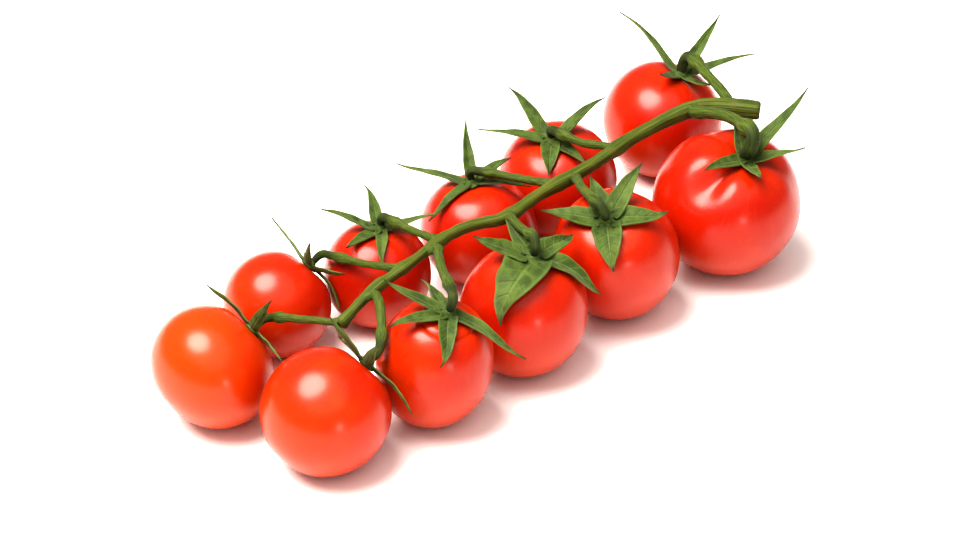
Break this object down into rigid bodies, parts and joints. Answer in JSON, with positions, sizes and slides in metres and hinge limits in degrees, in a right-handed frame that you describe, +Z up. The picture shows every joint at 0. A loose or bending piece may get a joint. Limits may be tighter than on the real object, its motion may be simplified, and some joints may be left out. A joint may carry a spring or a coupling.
{
  "type": "cherry tomato truss on the vine",
  "caption": "Truss of ripe cherry tomatoes in two rows along one green vine stem, each with a stalk and a star-shaped calyx, lying on the fruit.",
  "frame": {"origin": "on the surface the truss lies on, under the middle of its bounding box", "axes": "+Z up from the surface; +X along the truss from the tip of the vine to its cut end; -Y towards the row of fruit with tomatoes 02, 05, 07, 09 and 11"},
  "size_m": [0.1794, 0.0748, 0.0422],
  "materials": {
    "tomato_skin": "gloss",
    "stem_green": "satin",
    "stalk_green": "satin",
    "calyx_green": "matte",
    "bud_pale": "matte"
  },
  "bodies": {
    "root": {"main_stem": "stem_green", "tomato_01": "tomato_skin", "calyx_01": "calyx_green", "fruit_stalk_01": "stalk_green", "tomato_02": "tomato_skin", "calyx_02": "calyx_green", "fruit_stalk_02": "stalk_green", "tomato_03": "tomato_skin", "calyx_03": "calyx_green", "fruit_stalk_03": "stalk_green", "tomato_04": "tomato_skin", "calyx_04": "calyx_green", "fruit_stalk_04": "stalk_green", "tomato_05": "tomato_skin", "calyx_05": "calyx_green", "fruit_stalk_05": "stalk_green", "tomato_06": "tomato_skin", "calyx_06": "calyx_green", "fruit_stalk_06": "stalk_green", "tomato_07": "tomato_skin", "calyx_07": "calyx_green", "fruit_stalk_07": "stalk_green", "tomato_08": "tomato_skin", "calyx_08": "calyx_green", "fruit_stalk_08": "stalk_green", "tomato_09": "tomato_skin", "calyx_09": "calyx_green", "fruit_stalk_09": "stalk_green", "tomato_10": "tomato_skin", "calyx_10": "calyx_green", "fruit_stalk_10": "stalk_green", "tomato_11": "tomato_skin", "calyx_11": "calyx_green", "fruit_stalk_11": "stalk_green", "end_bud": "bud_pale"}
  },
  "joints": []
}
